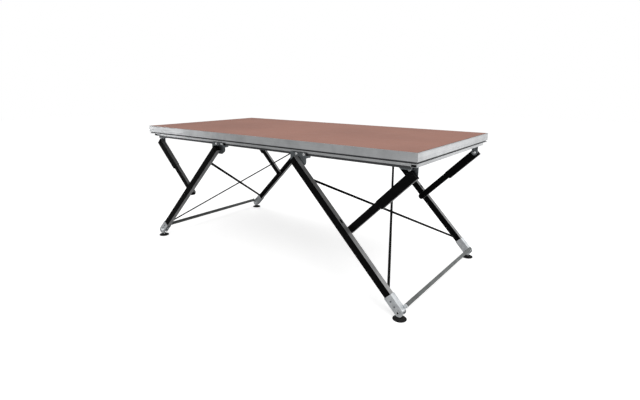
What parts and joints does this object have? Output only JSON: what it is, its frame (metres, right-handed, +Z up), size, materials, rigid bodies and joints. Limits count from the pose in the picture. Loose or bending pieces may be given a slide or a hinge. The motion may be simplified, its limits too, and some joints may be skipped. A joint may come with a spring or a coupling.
{
  "type": "stage riser platform",
  "caption": "Folding stage platform: a framed anti-slip deck on braced leg frames that fold up under it on struts and rail trolleys.",
  "frame": {"origin": "on the floor, under the middle of the deck", "axes": "+X along the deck's long side, +Y from the front long side to the back, +Z up"},
  "size_m": [2, 1.036, 0.8],
  "materials": {
    "floor_board": "film-faced birch plywood, fine anti-slip print, matt",
    "mill_aluminium": "extruded mill finish, satin",
    "zinc_steel": "bright zinc plated sheet steel",
    "grey_steel_tube": "grey coated steel tube, satin",
    "black_leg_profile": "black powder coat, satin, narrow sides bare grey",
    "black_steel": "black powder coat",
    "bright_fasteners": "bright zinc",
    "foot_rubber": "matt moulded rubber"
  },
  "bodies": {
    "deck": {"deck_board": "floor_board", "rim_front": "mill_aluminium", "rim_back": "mill_aluminium", "rim_right": "mill_aluminium", "rim_left": "mill_aluminium", "joist_left": "mill_aluminium", "joist_middle": "mill_aluminium", "joist_right": "mill_aluminium", "corner_cleats": "zinc_steel", "rail_front": "mill_aluminium", "rail_back": "mill_aluminium", "right_end_rail": "mill_aluminium", "left_end_rail": "mill_aluminium", "right_strut_bolts": "bright_fasteners", "left_strut_bolts": "bright_fasteners", "right_strut_bracket_front": "zinc_steel", "right_strut_bracket_back": "zinc_steel", "left_strut_bracket_front": "zinc_steel", "left_strut_bracket_back": "zinc_steel"},
    "right_leg_frame": {"right_leg_front": "black_leg_profile", "right_leg_back": "black_leg_profile", "right_shoe_front": "zinc_steel", "right_shoe_back": "zinc_steel", "right_tie_tube": "grey_steel_tube", "right_brace_upper": "black_steel", "right_brace_lower": "black_steel", "right_frame_bolts": "bright_fasteners", "right_shoe_screws": "bright_fasteners"},
    "right_strut_front": {"right_strut_sleeve_front": "black_leg_profile", "right_strut_bar_front": "black_leg_profile"},
    "right_trolley_front": {"right_trolley_front": "zinc_steel"},
    "right_foot_front": {"right_foot_spindle_front": "bright_fasteners", "right_foot_pad_front": "foot_rubber"},
    "right_strut_back": {"right_strut_sleeve_back": "black_leg_profile", "right_strut_bar_back": "black_leg_profile"},
    "right_trolley_back": {"right_trolley_back": "zinc_steel"},
    "right_foot_back": {"right_foot_spindle_back": "bright_fasteners", "right_foot_pad_back": "foot_rubber"},
    "left_leg_frame": {"left_leg_front": "black_leg_profile", "left_leg_back": "black_leg_profile", "left_shoe_front": "zinc_steel", "left_shoe_back": "zinc_steel", "left_tie_tube": "grey_steel_tube", "left_brace_upper": "black_steel", "left_brace_lower": "black_steel", "left_frame_bolts": "bright_fasteners", "left_shoe_screws": "bright_fasteners"},
    "left_strut_front": {"left_strut_sleeve_front": "black_leg_profile", "left_strut_bar_front": "black_leg_profile"},
    "left_trolley_front": {"left_trolley_front": "zinc_steel"},
    "left_foot_front": {"left_foot_spindle_front": "bright_fasteners", "left_foot_pad_front": "foot_rubber"},
    "left_strut_back": {"left_strut_sleeve_back": "black_leg_profile", "left_strut_bar_back": "black_leg_profile"},
    "left_trolley_back": {"left_trolley_back": "zinc_steel"},
    "left_foot_back": {"left_foot_spindle_back": "bright_fasteners", "left_foot_pad_back": "foot_rubber"}
  },
  "joints": [
    {"name": "right_fold", "type": "hinge", "parent": "deck", "child": "right_strut_front", "pos_m": [0.955, -0.44, 0.688], "axis": [0, 1, 0], "range_deg": [0, 39]},
    {"name": "right_strut_back_pivot", "type": "hinge", "parent": "deck", "child": "right_strut_back", "pos_m": [0.955, 0.44, 0.688], "axis": [0, 1, 0], "range_deg": [0, 39]},
    {"name": "right_knee", "type": "hinge", "parent": "right_strut_front", "child": "right_leg_frame", "pos_m": [0.63738, -0.44, 0.365], "axis": [0, 1, 0], "range_deg": [-78, 0]},
    {"name": "right_trolley_pivot_front", "type": "hinge", "parent": "right_leg_frame", "child": "right_trolley_front", "pos_m": [0.31977, -0.484, 0.688], "axis": [0, 1, 0], "range_deg": [0, 39]},
    {"name": "right_foot_swivel_front", "type": "hinge", "parent": "right_leg_frame", "child": "right_foot_front", "pos_m": [0.955, -0.484, 0.042], "axis": [0, 1, 0], "range_deg": [-15, 45]},
    {"name": "right_trolley_pivot_back", "type": "hinge", "parent": "right_leg_frame", "child": "right_trolley_back", "pos_m": [0.31977, 0.484, 0.688], "axis": [0, 1, 0], "range_deg": [0, 39]},
    {"name": "right_foot_swivel_back", "type": "hinge", "parent": "right_leg_frame", "child": "right_foot_back", "pos_m": [0.955, 0.484, 0.042], "axis": [0, 1, 0], "range_deg": [-15, 45]},
    {"name": "left_fold", "type": "hinge", "parent": "deck", "child": "left_strut_front", "pos_m": [-0.955, -0.44, 0.688], "axis": [0, -1, 0], "range_deg": [0, 39]},
    {"name": "left_strut_back_pivot", "type": "hinge", "parent": "deck", "child": "left_strut_back", "pos_m": [-0.955, 0.44, 0.688], "axis": [0, -1, 0], "range_deg": [0, 39]},
    {"name": "left_knee", "type": "hinge", "parent": "left_strut_front", "child": "left_leg_frame", "pos_m": [-0.63738, -0.44, 0.365], "axis": [0, -1, 0], "range_deg": [-78, 0]},
    {"name": "left_trolley_pivot_front", "type": "hinge", "parent": "left_leg_frame", "child": "left_trolley_front", "pos_m": [-0.31977, -0.484, 0.688], "axis": [0, -1, 0], "range_deg": [0, 39]},
    {"name": "left_foot_swivel_front", "type": "hinge", "parent": "left_leg_frame", "child": "left_foot_front", "pos_m": [-0.955, -0.484, 0.042], "axis": [0, -1, 0], "range_deg": [-15, 45]},
    {"name": "left_trolley_pivot_back", "type": "hinge", "parent": "left_leg_frame", "child": "left_trolley_back", "pos_m": [-0.31977, 0.484, 0.688], "axis": [0, -1, 0], "range_deg": [0, 39]},
    {"name": "left_foot_swivel_back", "type": "hinge", "parent": "left_leg_frame", "child": "left_foot_back", "pos_m": [-0.955, 0.484, 0.042], "axis": [0, -1, 0], "range_deg": [-15, 45]}
  ],
  "couplings": [
    {"joint": "right_strut_back_pivot", "follows": "right_fold", "ratio": 1},
    {"joint": "right_knee", "follows": "right_fold", "ratio": -2},
    {"joint": "right_trolley_pivot_front", "follows": "right_fold", "ratio": 1},
    {"joint": "right_trolley_pivot_back", "follows": "right_fold", "ratio": 1},
    {"joint": "left_strut_back_pivot", "follows": "left_fold", "ratio": 1},
    {"joint": "left_knee", "follows": "left_fold", "ratio": -2},
    {"joint": "left_trolley_pivot_front", "follows": "left_fold", "ratio": 1},
    {"joint": "left_trolley_pivot_back", "follows": "left_fold", "ratio": 1}
  ]
}
